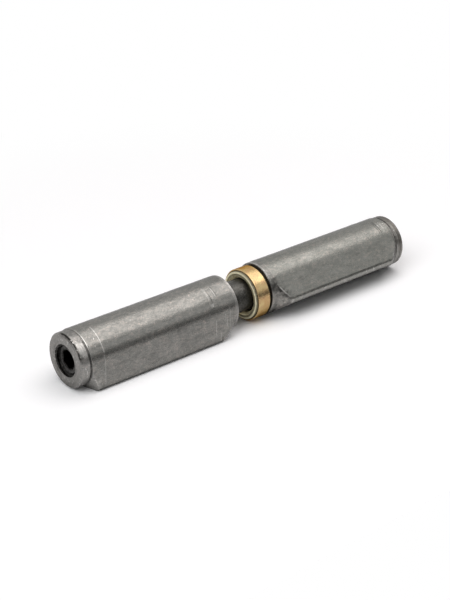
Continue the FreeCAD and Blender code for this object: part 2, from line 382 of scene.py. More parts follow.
# The marks on each barrel, from the photograph. The camera sees angles from about 60 to 230. The noise in a
# mark's edge goes by its place in the list.
UPPER_MARKS = [
    # The bright line scribed around the bar, fading down its flank
    Mark(9.3, 0.30, 97, 130, depth=0.05, bright=0.95, ragged=0.45),
    Mark(9.25, 0.30, 128, 158, depth=0.05, bright=0.95, ragged=0.25),
    Mark(9.1, 0.30, 156, 200, depth=0.03, bright=0.35, ragged=0.5),
    Mark(8.9, 0.60, 196, 219, depth=0.03, bright=0.3, ragged=0.7),
    # A slanting scratch on the flank
    Mark(7.4, 0.25, 186, 196, depth=0.02, bright=0.35, ragged=0.6, lean=1.6),
    # Two scribed lines near the inner end, each painted bright on one side and dark on the other as the light
    # and shade on its walls, with scuffs between and below them
    Mark(55.5, 0.9, 102, 138, bright=0.35, ragged=0.8),
    Mark(56.2, 0.4, 112, 143, depth=0.05, dark=0.6, ragged=0.4),
    Mark(58.3, 0.4, 110, 131, depth=0.08, bright=0.45, ragged=0.6),
    Mark(58.8, 0.4, 106, 134, dark=0.6, ragged=0.4),
    Mark(57.1, 3.0, 112, 142, nicks=0.2, ragged=1.0),
    Mark(55.6, 1.6, 144, 150, depth=0.03, bright=0.5, nicks=0.6, ragged=0.6),
    Mark(57.9, 0.5, 148, 153, dark=0.6, ragged=0.4),
    # Scratches across the flank near the inner end
    Mark(56.2, 0.35, 180, 212, depth=0.04, bright=0.5, ragged=0.6),
    Mark(58.3, 0.35, 208, 222, depth=0.04, bright=0.4, ragged=0.5),
    Mark(61.0, 0.35, 182, 202, depth=0.03, bright=0.4, ragged=0.6),
    Mark(58.9, 0.9, 216, 221, depth=0.03, dark=0.5),
    # The step behind the spigot: a bright worn edge, and the step's painted shadow at the spigot's foot
    Mark(4.15, 0.30, 88, 114, bright=0.45, ragged=0.6),
    Mark(4.15, 0.36, 110, 138, bright=1.0, ragged=0.3),
    Mark(3.7, 0.45, 60, 116, dark=0.2, ragged=0.5),
    Mark(3.7, 0.6, 114, 216, depth=0.13, dark=1.0, ragged=0.2),
    # Knocks and dirt on the spigot, with bright nicked patches that are partly a painted highlight
    Mark(1.9, 2.9, 108, 152, nicks=1.0, ragged=0.3),
    Mark(2.4, 2.8, 60, 126, dark=0.42, ragged=0.5),
    Mark(2.6, 1.9, 124, 154, bright=0.6, nicks=1.0, ragged=1.0),
    Mark(1.5, 1.4, 120, 152, bright=0.5, nicks=1.0, ragged=1.0),
    Mark(2.9, 1.2, 120, 160, dark=0.35, ragged=1.0),
    Mark(0.9, 1.5, 146, 158, dark=0.75, ragged=0.5),
    Mark(1.6, 2.4, 165, 225, nicks=0.6, ragged=0.5),
    # Scuffs beside the spigot, and painted light with nicks on the outer cone
    Mark(6.6, 4.4, 96, 142, nicks=0.4, ragged=0.3),
    Mark(5.6, 2.8, 204, 232, bright=0.28, nicks=0.5, ragged=0.5),
    # A rusty burr on the rim, painted dark as the shade on its chamfer
    Mark(0.3, 0.62, 74, 160, depth=0.07, rust=0.3, dark=1.35, ragged=0.2),
    # Pits and two small stains on the flank
    Mark(6.2, 2.0, 196, 224, pits=0.4, ragged=0.6),
    Mark(33.0, 1.2, 186, 190, dark=0.35, ragged=0.6),
    Mark(29.0, 4.0, 196, 199, dark=0.3, ragged=0.8),
    # A painted highlight on the rim on the far side
    Mark(0.15, 0.6, -62, 62, bright=0.5, ragged=0.6),
    # Faint stains and nicks along the bar, a painted highlight streak at 144 to 152, and at 164 to 176
    # a faint stain that is partly a painted dark reflection
    Mark(35.0, 66.0, 164, 176, dark=0.08, ragged=0.5),
    Mark(34.0, 60.0, 144, 152, bright=0.10, ragged=0.7),
    Mark(38.0, 12.0, 170, 186, dark=0.14, ragged=1.0),
    Mark(24.0, 9.0, 178, 200, dark=0.10, ragged=1.0),
    Mark(46.0, 7.0, 196, 216, dark=0.10, ragged=1.0),
    Mark(22.0, 18.0, 104, 130, dark=0.16, nicks=0.2, ragged=1.0),
    Mark(45.0, 15.0, 102, 126, dark=0.16, nicks=0.2, ragged=1.0),
    # Faint lines of the lathe on the inner cone
    Mark(60.3, 0.5, 172, 196, bright=0.12, nicks=0.3, ragged=0.9),
    Mark(62.4, 0.4, 160, 206, bright=0.25, ragged=0.7),
    Mark(64.0, 0.4, 160, 200, dark=0.25, ragged=0.7),
]
LOWER_MARKS = [
    # Scribed lines near the outer end, and scuffs beside them
    Mark(8.5, 0.36, 90, 130, depth=0.06, dark=1.2, ragged=0.35),
    Mark(9.3, 0.30, 97, 130, depth=0.03, dark=0.7, ragged=0.5),
    Mark(6.4, 4.2, 98, 122, nicks=0.6, bright=0.14, ragged=0.8),
    Mark(6.8, 0.3, 104, 122, depth=0.03, bright=0.6, ragged=0.6),
    Mark(7.6, 0.9, 101, 128, depth=0.02, nicks=0.8, ragged=0.5),
    # The step behind the spigot, its painted shadow at the spigot's foot, and the spigot's dark and
    # bright rings
    Mark(4.7, 0.3, 110, 196, depth=0.04, dark=0.7, ragged=0.4),
    Mark(3.4, 0.7, 50, 128, dark=1.3, ragged=0.15),
    Mark(3.65, 0.45, 124, 230, dark=1.1, ragged=0.2),
    Mark(3.0, 1.1, 118, 146, dark=0.35, ragged=0.6),
    Mark(2.2, 3.0, 140, 162, rust=0.3, dark=0.55, ragged=0.7),
    Mark(3.1, 0.35, 164, 215, bright=0.6, ragged=0.4),
    Mark(1.0, 0.5, 166, 210, bright=0.35, ragged=0.7),
    Mark(1.6, 0.5, 60, 230, dark=0.6, rust=0.3, ragged=0.5),
    Mark(2.4, 0.35, 110, 230, bright=0.4, ragged=0.6),
    # Two short scribed lines near the inner end
    Mark(53.9, 0.35, 97, 104, depth=0.08, dark=0.8, ragged=0.2),
    Mark(54.8, 0.35, 98, 106, depth=0.08, dark=0.8, ragged=0.2),
    # Painted shade on the collar, and the pitted inner cone
    Mark(64.6, 2.8, 137, 153, depth=0.02, dark=0.8, ragged=0.3),
    Mark(63.6, 4.4, 150, 236, pits=0.9, dark=0.1, ragged=0.3),
    Mark(62.2, 4.0, 168, 236, pits=1.0, dark=0.12, ragged=0.3),
    # Nicks on the inner rim
    Mark(65.6, 1.6, 60, 140, nicks=0.5, ragged=0.5),
    # Small stains on the flank
    Mark(24.2, 1.3, 149, 156, dark=0.35, ragged=0.7),
    Mark(27.9, 1.0, 155, 161, dark=0.35, ragged=0.7),
    Mark(46.0, 2.2, 152, 159, dark=0.25, ragged=0.8),
    Mark(53.0, 2.6, 155, 163, dark=0.3, ragged=0.7),
    # A painted line of shade along the corner, and a painted pale reflection with nicks on the strip under it
    Mark(35.0, 50.0, 181.5, 183.6, depth=0.03, dark=0.85, ragged=0.5),
    Mark(35.0, 56.0, 184.5, 204.0, bright=0.30, nicks=0.5, ragged=0.5),
    # Rust and nicks on the spigot and its rim
    Mark(1.3, 3.6, 50, 190, rust=0.35, dark=0.35, ragged=0.5),
    Mark(2.4, 1.2, 120, 200, nicks=0.6, ragged=0.6),
    Mark(0.2, 0.5, 60, 200, rust=0.5, dark=0.6, ragged=0.4),
]
TONES = ("bright", "nicks", "dark", "pits", "rust")

UPPER = Barrel(
    outer_end=UPPER_BOX[0][0], inwards=1, corner=225.0, outer_cone=2.2, inner_collar=1.2, inner_cone=5.2,
    rim_worn=(130, 160), edge_wear_and_shade=0.0, marks=UPPER_MARKS, seed=11,
    fine=[(0, 0.48, 0.08), (0.48, 3.9, 0.18), (3.9, 4.3, 0.06), (4.3, 7.4, 0.11), (7.4, 8.4, 0.3),
          (8.4, 9.9, 0.09), (9.9, 12, 0.5), (54.2, 59.5, 0.16), (59.5, 65.5, 0.13), (65.5, 66.5, 0.1)])
LOWER = Barrel(
    outer_end=LOWER_BOX[1][0], inwards=-1, corner=188.0, outer_cone=5.2, inner_collar=2.4, inner_cone=4.1,
    rim_worn=(70, 80), edge_wear_and_shade=1.0, marks=LOWER_MARKS, seed=47,
    fine=[(0, 0.48, 0.08), (0.48, 3.9, 0.3), (3.9, 4.3, 0.06), (4.3, 10.6, 0.13), (53.6, 55.4, 0.12),
          (60.6, 64.8, 0.1), (64.8, 66.0, 0.2), (66.0, 66.5, 0.08)])

# Dark smudges on a barrel's outer end, each as its angle, reach, radius, width and depth
UPPER_END_SMUDGES = [
    (318, 40, 6.9, 0.9, 0.5), (20, 60, 6.6, 0.5, 0.3), (255, 60, 8.4, 0.9, 0.35), (105, 50, 9.0, 0.5, 0.6),
    (200, 70, 6.2, 0.35, 0.25), (285, 60, 9.05, 0.2, 0.6)]
LOWER_END_SMUDGES = [(0, 200, 7.0, 2.5, 0.3)]

# The lathe's rings on a barrel are told apart by the way along its cut, up to this radius
TRAVEL_REACH = 14.0

# The wear on the edges: its wavelength, its seed after a barrel's own, how wide it is where the corner is cut
# and on the inner rim, and where outside the round the cut corner comes to be worn
WEAR_WAVELENGTH = 2.3
WEAR_SEED = 90
CORNER_WEAR_WIDTH = 0.16
RIM_WEAR_WIDTH = 0.2
CORNER_WORN = (0.4, 1.5)

# The bright edge of a worn inner cone: its width, its middle angle from the corner and its reach, and how far
# below it the painted shade begins and ends
CONE_EDGE_WIDTH = 0.13
CONE_EDGE_AT = (-30, 30)
CONE_DARK_FROM = (0.02, 0.12)
CONE_DARK_TO = (0.3, 1.4)


def with_marks(radius, barrel, along, turns, places):
    """The radius with the barrel's marks cut into it, and the tones that the marks give."""
    tones = dict.fromkeys(TONES, 0.0)
    for number, mark in enumerate(barrel.marks):
        strength = mark.strength(along, turns, places, barrel.seed + number)
        radius = radius - mark.depth * strength
        for name, value in mark.tones.items():
            tones[name] = np.maximum(tones[name], value * strength)
    return radius, tones


def rubbed_edges(barrel, along, turns, far, spare, places):
    """How far the edges where the lathe cuts the corner are rubbed bare, and the inner rim."""
    is_corner = smooth_step(far - BAR_RADIUS, *CORNER_WORN)
    wear = np.clip(0.55 + 0.45 * waves(places, WEAR_WAVELENGTH, barrel.seed + WEAR_SEED), 0, 1)
    rim = bell(along, BARREL_LENGTH - RIM_CHAMFER, RIM_WEAR_WIDTH) * near_turn(turns, *barrel.rim_worn)
    return np.maximum(bell(spare, 0, CORNER_WEAR_WIDTH) * is_corner * wear, rim)


def inner_cone_tones(barrel, along, turns, far, spare):
    """How bright the rubbed sharp edge of a worn inner cone is, and the painted shade on the cone right below
    it.
    """
    share = (along > BARREL_LENGTH / 2) * barrel.edge_wear_and_shade
    edge = bell(spare, 0.06, CONE_EDGE_WIDTH) * smooth_step(far - BAR_RADIUS, 0.1, 0.9)
    edge = edge * near_turn(turns - barrel.corner, *CONE_EDGE_AT)
    below = smooth_step(-spare, *CONE_DARK_FROM) * (1 - smooth_step(-spare, *CONE_DARK_TO))
    return 1.1 * edge * share, 0.8 * below * share


def barrel_outside(skin, barrel):
    """The outside of a barrel from its outer rim to its inner rim. Gives back its turns and radii."""
    turns = barrel.turns()
    along = barrel.stations()[:, None]
    far = barrel.section(turns)[None, :]
    cut = barrel.lathe(along)
    spare = cut - far
    blend = np.maximum(EDGE_SOFTNESS - np.abs(spare), 0) / EDGE_SOFTNESS
    radius = np.minimum(far, cut) - blend ** 2 * EDGE_SOFTNESS / 4
    places = np.stack(np.broadcast_arrays(
        along,
        radius * np.cos(np.radians(turns))[None, :],
        radius * np.sin(np.radians(turns))[None, :]), -1)
    drawn = smooth_step(spare, 0.0, 0.12)
    radius = radius + drawn * (DRAWN_WAVE * waves(places, DRAWN_WAVELENGTH, barrel.seed) - DRAWN_BACK)
    radius, tones = with_marks(radius, barrel, along, turns, places)
    # The rubbed edge of the inner cone, and painted shade on the cone just below it
    bright, dark = inner_cone_tones(barrel, along, turns, far, spare)
    tones["bright"] = np.maximum(tones["bright"], bright)
    tones["dark"] = np.maximum(tones["dark"], dark)
    travel = path_length(along[:, 0], np.minimum(cut[:, 0], TRAVEL_REACH))
    skin.patch(
        barrel.x(along), radius, turns, lathe=1 - drawn, travel=travel[:, None],
        edge=rubbed_edges(barrel, along, turns, far, spare, places), **tones)
    return turns, radius


def disc_rings(skin, x, turns, outer, inner, rings, smudges=(), **masks):
    """A flat ring between two radii, which may vary with the angle, with dark smudges."""
    share = np.linspace(0, 1, rings)[:, None]
    radius = outer * (1 - share) + inner * share
    dark = np.zeros_like(radius)
    for angle, reach, distance, width, depth in smudges:
        dark = dark + depth * near_turn(turns, angle, reach) * bell(radius, distance, width)
    skin.patch(x, radius, turns, travel=radius, dark=dark, rust=dark * 0.4, **masks)


def lathe_rings(skin, profile, turns, **masks):
    """A turned surface through (x, radius) points."""
    x, radius = np.array(profile, float).T
    skin.patch(x[:, None], radius[:, None], turns, travel=path_length(x, radius)[:, None], **masks)


def thread_radius(x, turns, crest, root):
    """The radius of a right-hand thread with flat crests and roots. In a hole the crest is the smaller."""
    phase = (x / PITCH - turns / 360) % 1
    ridge = np.abs(phase - 0.5) * 2
    return crest + (root - crest) * np.clip((ridge - THREAD_FLAT) / THREAD_FLANK, 0, 1)


def thread_rings(skin, start, end, turns, limit, crest, root, **masks):
    """A helical thread between two places, trimmed by limit, a function that takes radius and x."""
    first = math.floor(start / PITCH) - 1
    last = math.ceil(end / PITCH) + 1
    share = (np.arange((last - first) * THREAD_STEPS + 1) / THREAD_STEPS)[:, None] + first
    x = np.clip((share + turns[None, :] % 360 / 360) * PITCH, start, end)
    radius = limit(thread_radius(x, turns[None, :], crest, root), x)
    skin.patch(x, radius, turns, climb=THREAD_STEPS, lathe=1.0, **masks)


def make_upper_barrel():
    """The left barrel, with its tapped hole and the bore for the pin."""
    skin = Skin(HINGE_AXIS)
    turns, radius = barrel_outside(skin, UPPER)
    start, end = UPPER.outer_end, UPPER.x(BARREL_LENGTH)
    mouth = HOLE_MOUTH + HOLE_MOUTH_WORN * near_turn(turns, *HOLE_WORN_AT)
    disc_rings(skin, start, turns, radius[0], mouth, UPPER_END_RINGS, UPPER_END_SMUDGES,
               lathe=1.0, nicks=0.25)
    order = np.argsort(turns % 360)
    hole_end = end - PIN_BORE_DEPTH
    bore = PIN_BORE_RADIUS

    def in_hole(found, x):
        from_mouth = np.clip((x - start) / HOLE_MOUTH_RUN, 0, 1)
        return np.minimum(found, bore) * from_mouth + mouth[order] * (1 - from_mouth)

    # The wall of the tapped hole is painted dark, as its shade
    thread_rings(skin, start, hole_end, turns[order] % 360, in_hole, HOLE_CREST, HOLE_ROOT, dark=1.2)
    bore_points = [
        (hole_end, bore),
        (hole_end + BORE_RINGS[0], bore),
        (end - BORE_RINGS[1], bore),
        (end - BORE_LEAD_IN, bore),
        (end, bore + BORE_LEAD_IN),
    ]
    lathe_rings(skin, bore_points, turns, lathe=1.0, dark=0.3)
    disc_rings(skin, end, turns, radius[-1], bore + BORE_LEAD_IN, INNER_END_RINGS, lathe=1.0)
    return skin.finished("upper_barrel_steel")


def make_lower_barrel():
    """The right barrel, with the blind seat that the pin is pressed into."""
    skin = Skin(HINGE_AXIS)
    turns, radius = barrel_outside(skin, LOWER)
    outer, inner = LOWER.outer_end, LOWER.x(BARREL_LENGTH)
    disc_rings(skin, outer, turns, radius[0], 0.0, LOWER_END_RINGS, LOWER_END_SMUDGES, lathe=1.0)
    disc_rings(skin, inner, turns, radius[-1], PIN_RADIUS, INNER_END_RINGS, lathe=1.0)
    seat_end = inner + PIN_SEAT_DEPTH
    seat_points = [(inner, PIN_RADIUS), (seat_end, PIN_RADIUS), (seat_end, 0)]
    lathe_rings(skin, seat_points, turns, lathe=1.0, dark=0.5)
    return skin.finished("lower_barrel_steel")


def make_set_screw():
    """The set screw with its thread, its hexagon socket and its flat point."""
    skin = Skin(HINGE_AXIS)
    turns = np.arange(0, 360, ROUND_STEP)
    start, end = SCREW_BOX[0][0], SCREW_BOX[1][0]

    def in_chamfers(found, x):
        from_face = SCREW_FACE_RADIUS + (x - start) / SCREW_FACE_CHAMFER * (SCREW_CREST - SCREW_FACE_RADIUS)
        from_point = SCREW_POINT_RADIUS + (end - x) / SCREW_POINT_CHAMFER * (SCREW_CREST - SCREW_POINT_RADIUS)
        return np.minimum(np.minimum(found, from_face), from_point)

    thread_rings(skin, start, end, turns, in_chamfers, SCREW_CREST, SCREW_ROOT, dark=0.9)

    # The face around the socket, as (radius, worn, painted shade) from its rim inwards
    face = [(SCREW_FACE_RADIUS, 0.9, 0.0), (4.6, 0.4, 0.0), (4.3, 0.1, 0.0), (SOCKET_MOUTH + 0.12, 0.1, 0.0),
            (SOCKET_MOUTH, 0.1, 0.4)]
    radius, lightened, dark = np.transpose(face)[:, :, None]
    skin.patch(start, radius, turns, travel=radius, edge=lightened, dark=dark)

    # The socket, as (depth, radius, painted shade) from its countersunk mouth to the tip of the drill's cone
    off = np.radians((turns - SOCKET_TURN) % 60 - 30)
    hexagon = SOCKET_FLATS / 2 / np.cos(off)
    countersink = (SOCKET_MOUTH - hexagon) / math.sqrt(3)
    socket = [
        (0, SOCKET_MOUTH, 0.9),
        (countersink, hexagon, 1.0),
        (countersink + SOCKET_LIP, hexagon, 1.0),
        (SOCKET_DEPTH, hexagon, 1.0),
        (SOCKET_DEPTH, SOCKET_FLATS / 2, 1.0),
        (SOCKET_DEPTH + SOCKET_DRILL, 0, 1.0),
    ]
    depth, radius, dark = (np.stack(np.broadcast_arrays(turns, *values)[1:]) for values in zip(*socket))
    skin.patch(start + depth, radius, turns, dark=dark)
    point = np.array([SCREW_POINT_RADIUS, 3.0, 0.0])[:, None]
    skin.patch(end, point, turns, travel=point)
    return skin.finished("set_screw_black")


def make_pin():
    """The pin, a ground rod with a chamfered tip and a foot hidden in the lower barrel."""
    skin = Skin(HINGE_AXIS)
    tip, foot = PIN_BOX[0][0], PIN_BOX[1][0]
    soft = PIN_SOFTNESS
    tip_points = [
        (tip, 0),
        (tip, PIN_FACE_RING),
        (tip, PIN_RADIUS - PIN_TIP_CHAMFER - soft),
        (tip + 1.5 * soft, PIN_RADIUS - PIN_TIP_CHAMFER + soft / 2),
        (tip + PIN_TIP_CHAMFER, PIN_RADIUS - soft),
        (tip + PIN_TIP_CHAMFER + 2 * soft, PIN_RADIUS),
    ]
    rod = np.linspace(tip + PIN_ENDS[0], foot - PIN_ENDS[1], PIN_RINGS)
    rod_points = [(x, PIN_RADIUS) for x in rod]
    foot_points = [
        (foot - PIN_FOOT_CHAMFER, PIN_RADIUS),
        (foot - soft, PIN_RADIUS - PIN_FOOT_CHAMFER + soft),
        (foot, PIN_RADIUS - PIN_FOOT_CHAMFER),
        (foot, PIN_FACE_RING),
        (foot, 0),
    ]
    profile = np.array(tip_points + rod_points + foot_points)
    edge = bell(profile[:, :1], tip + PIN_TIP_CHAMFER + soft, 0.12)
    lathe_rings(skin, profile, np.arange(0, 360, ROUND_STEP), edge=edge)
    return skin.finished("pin_ground")


class Nodes:
    """The nodes of a material or a world. math, between, choose and mix give back a new node's output."""

    def __init__(self, owner):
        owner.use_nodes = True
        self.nodes = owner.node_tree.nodes
        self.links = owner.node_tree.links

    def add(self, kind, inputs, **settings):
        """A new node with these settings, each of its inputs a value or another node's output."""
        node = self.nodes.new(kind)
        for name, value in settings.items():
            setattr(node, name, value)
        for socket, value in inputs.items():
            self.feed(node.inputs[socket], value)
        return node

    def feed(self, socket, value):
        """Gives an input a value or another node's output."""
        if isinstance(value, bpy.types.NodeSocket):
            self.links.new(value, socket)
        else:
            socket.default_value = value

    def math(self, operation, first, second=0.0, clamp=False):
        node = self.add("ShaderNodeMath", {0: first, 1: second}, operation=operation, use_clamp=clamp)
        return node.outputs[0]

    def between(self, value, low, high, to_low=0.0, to_high=1.0, smooth=False):
        """Turns a value at low into to_low and at high into to_high, and keeps to those outside."""
        inputs = {"Value": value, "From Min": low, "From Max": high, "To Min": to_low, "To Max": to_high}
        kind = "SMOOTHSTEP" if smooth else "LINEAR"
        return self.add("ShaderNodeMapRange", inputs, interpolation_type=kind).outputs["Result"]

    def choose(self, share, first, second):
        """A mix of two numbers."""
        return self.add("ShaderNodeMix", {0: share, 2: first, 3: second}).outputs[0]

    def mix(self, share, first, second, blend="MIX"):
        """A mix of two colours, each a socket or an (r, g, b) value."""
        inputs = {0: share}
        for socket, colour in ((6, first), (7, second)):
            inputs[socket] = colour if isinstance(colour, bpy.types.NodeSocket) else (*colour, 1.0)
        return self.add("ShaderNodeMix", inputs, data_type="RGBA", blend_type=blend).outputs[2]


class Shader(Nodes):
    """A new material of the part, with textures that lie in its piece's own coordinates."""

    def __init__(self, name, **sockets):
        self.material = bpy.data.materials.new(name)
        super().__init__(self.material)
        self.surface = self.nodes["Principled BSDF"]
        self.connect(**sockets)
        self.place = self.nodes.new("ShaderNodeTexCoord").outputs["Object"]

    def connect(self, **sockets):
        """Sets or links inputs of the surface, and gives back the material."""
        for socket, value in sockets.items():
            self.feed(self.surface.inputs[socket.replace("_", " ")], value)
        return self.material

    def stretched(self, x, y, z):
        """The piece's own coordinates, in millimetres over these lengths."""
        scale = (1 / (x * MM), 1 / (y * MM), 1 / (z * MM))
        return self.add("ShaderNodeMapping", {"Vector": self.place, "Scale": scale}).outputs["Vector"]

    def radius(self, axis):
        """How far the surface is from the line along X through this point, in millimetres."""
        offset = self.add("ShaderNodeVectorMath", {0: self.place, 1: (0, axis[1] * MM, axis[2] * MM)},
                          operation="SUBTRACT").outputs[0]
        across = self.add("ShaderNodeVectorMath", {0: offset, 1: (0, 1 / MM, 1 / MM)},
                          operation="MULTIPLY").outputs[0]
        return self.add("ShaderNodeVectorMath", {0: across}, operation="LENGTH").outputs["Value"]

    def noise(self, vector, detail=3.0, roughness=0.55, distortion=0.0):
        inputs = {"Vector": vector, "Scale": 1.0, "Detail": detail, "Roughness": roughness,
                  "Distortion": distortion}
        return self.add("ShaderNodeTexNoise", inputs).outputs["Fac"]

    def scratches(self, vector):
        """Thin cracks between cells, near 0 on a crack."""
        inputs = {"Vector": vector, "Scale": 1.0}
        return self.add("ShaderNodeTexVoronoi", inputs, feature="DISTANCE_TO_EDGE").outputs["Distance"]

    def mask(self, name):
        """One of the masks that a Skin gives its mesh."""
        return self.add("ShaderNodeAttribute", {}, attribute_name=name).outputs["Fac"]

    def bump(self, height, depth, strength):
        inputs = {"Height": height, "Distance": depth * MM, "Strength": strength}
        return self.add("ShaderNodeBump", inputs).outputs["Normal"]


# How much the metals still mirror near a glancing angle, below what clean metal would
EDGE_TINT = (0.62, 0.62, 0.62, 1.0)

# Colours on the drawn bar
DRAWN_GRAIN = (0.30, 0.30, 0.29)
WARM_FILM = (0.33, 0.265, 0.235)
PIT = (0.045, 0.043, 0.040)
RUST = (0.060, 0.036, 0.022)
DIRT_AND_SHADE = (0.030, 0.029, 0.027)
BLACK_DIRT_AND_SHADE = (0.005, 0.005, 0.004)
BARE_STEEL_AND_HIGHLIGHT = (0.48, 0.47, 0.45)


def steel_material(name, drawn_dark, drawn_light, cut_colour, liveliness):
    """Bare drawn bar with turned ends: mottled, speckled and finely scratched, with nicks, worn edges, dirt,
    and painted highlights and shade.

    Liveliness is how far the mottling, and again the speckles, make its tone lighter and darker.
    """
    s = Shader(name, Metallic=1.0, Specular_Tint=EDGE_TINT)
    lathe = s.mask("lathe")
    nicks = s.mask("nicks")
    dirt_and_shade_mask = s.mask("dark")
    blotch = s.noise(s.stretched(5.5, 2.6, 2.6), roughness=0.6)
    mottle = s.noise(s.stretched(1.7, 1.0, 1.0), detail=4.0, roughness=0.6)
    speckle = s.noise(s.stretched(0.6, 0.42, 0.42), roughness=0.6)
    grain = s.noise(s.stretched(8.0, 0.25, 0.25))
    scuff = s.noise(s.stretched(0.55, 1.1, 1.1), detail=2.0)
    travel = s.add("ShaderNodeCombineXYZ", {"X": s.math("MULTIPLY", s.mask("travel"), 7.0)}).outputs[0]
    rings = s.noise(travel, detail=4.0, roughness=0.8)

    # The drawn and the cut surface, then the mottling, the grain and a warm film over both
    drawn = s.mix(s.between(blotch, 0.3, 0.7), drawn_dark, drawn_light)
    cut = s.mix(s.between(rings, 0.3, 0.7, 0.0, 0.4), cut_colour, drawn_dark)
    colour = s.mix(lathe, drawn, cut)
    tone = s.between(mottle, 0.3, 0.7, 1 - liveliness, 1 + liveliness)
    tone = s.math("MULTIPLY", tone, s.between(speckle, 0.3, 0.7, 1 - liveliness, 1 + liveliness))
    grey = s.add("ShaderNodeCombineColor", {0: tone, 1: tone, 2: tone}).outputs[0]
    colour = s.mix(1.0, colour, grey, "MULTIPLY")
    colour = s.mix(s.between(grain, 0.4, 0.75, 0.0, 0.2), colour, DRAWN_GRAIN)
    warm = s.math("MULTIPLY", s.between(mottle, 0.45, 0.65), s.between(speckle, 0.45, 0.65, 0.0, 0.5))
    colour = s.mix(warm, colour, WARM_FILM)

    # What has got onto the metal or into it, and the painted shade that the dark mask carries too
    pitted = s.math("MULTIPLY", s.mask("pits"), s.between(mottle, 0.5, 0.36))
    colour = s.mix(pitted, colour, PIT)
    colour = s.mix(s.math("MULTIPLY", s.mask("rust"), 0.9), colour, RUST)
    dirt_and_shade = s.math("MULTIPLY", dirt_and_shade_mask, s.between(mottle, 0.62, 0.4, 0.6, 1.0))
    colour = s.mix(dirt_and_shade, colour, DIRT_AND_SHADE)
    colour = s.mix(s.between(dirt_and_shade_mask, 1.0, 1.5), colour, BLACK_DIRT_AND_SHADE)

    # Where it is struck or rubbed bare, and the painted highlights that the bright mask carries too
    struck = s.between(s.math("ADD", scuff, s.math("MULTIPLY", nicks, 0.06)), 0.64, 0.69)
    struck = s.math("MULTIPLY", struck, s.between(nicks, 0.0, 0.3))
    edge = s.math("MULTIPLY", s.mask("edge"), s.between(speckle, 0.35, 0.6, 0.35, 0.9))
    lightened = s.math("MAXIMUM", s.mask("bright"), edge)
    lightened = s.math("MAXIMUM", lightened, s.math("MULTIPLY", struck, 0.8), clamp=True)
    colour = s.mix(lightened, colour, BARE_STEEL_AND_HIGHLIGHT)

    rough = s.between(blotch, 0.35, 0.65, 0.31, 0.23)
    rough = s.math("ADD", rough, s.between(speckle, 0.3, 0.7, 0.05, -0.05))
    rough = s.math("ADD", rough, s.math("MULTIPLY", lathe, 0.05))
    rough = s.math("ADD", rough, s.math("MULTIPLY", dirt_and_shade_mask, 0.1), clamp=True)

    height = s.math("ADD", s.math("MULTIPLY", speckle, 0.6), s.math("MULTIPLY", grain, 0.2))
    height = s.math("ADD", height, s.math("MULTIPLY", mottle, 0.8))
    height = s.math("ADD", height, s.math("MULTIPLY", s.math("MULTIPLY", rings, lathe), 0.6))
    height = s.math("SUBTRACT", height, s.math("MULTIPLY", s.math("ADD", struck, pitted), 0.5))
    return s.connect(Base_Color=colour, Roughness=rough, Normal=s.bump(height, 0.05, 0.8))


def black_oxide_material():
    """Black oxide with a light oil film, a little wear on its edges, and painted shade in its socket."""
    s = Shader("black_oxide", Metallic=1.0, Specular_Tint=(0.25, 0.25, 0.25, 1.0))
    cloud = s.noise(s.stretched(1.6, 1.2, 1.2), detail=4.0)
    fine = s.noise(s.stretched(0.3, 0.25, 0.25))
    colour = s.mix(s.between(cloud, 0.3, 0.7), (0.060, 0.059, 0.057), (0.125, 0.122, 0.117))
    # Nearly black where the dark mask is: painted shade in the socket and at its mouth, and the thread too
    colour = s.mix(s.mask("dark"), colour, (0.010, 0.010, 0.009))
    colour = s.mix(s.math("MULTIPLY", s.mask("edge"), 0.3), colour, (0.22, 0.22, 0.23))
    rough = s.between(fine, 0.3, 0.7, 0.30, 0.46)
    return s.connect(Base_Color=colour, Roughness=rough, Normal=s.bump(fine, 0.015, 0.6))


def pin_material():
    """Dark hardened steel with oily smudges and fine scratches in all directions."""
    s = Shader("pin_steel", Metallic=1.0)
    cloud = s.noise(s.stretched(3.2, 2.6, 2.6), distortion=0.6)
    crack = s.scratches(s.stretched(1.4, 0.9, 0.9))
    fine = s.noise(s.stretched(0.25, 2.2, 2.2), detail=4.0, roughness=0.7)
    colour = s.mix(s.between(cloud, 0.35, 0.7), (0.033, 0.032, 0.029), (0.074, 0.072, 0.066))
    colour = s.mix(s.between(crack, 0.0, 0.06, 0.35, 0.0), colour, (0.22, 0.22, 0.21))
    colour = s.mix(s.math("MULTIPLY", s.mask("edge"), 0.6), colour, (0.35, 0.35, 0.34))
    rough = s.between(cloud, 0.3, 0.7, 0.48, 0.36)
    height = s.math("ADD", fine, s.between(crack, 0.0, 0.05, -0.5, 0.0))
    return s.connect(Base_Color=colour, Roughness=rough, Normal=s.bump(height, 0.02, 0.6))


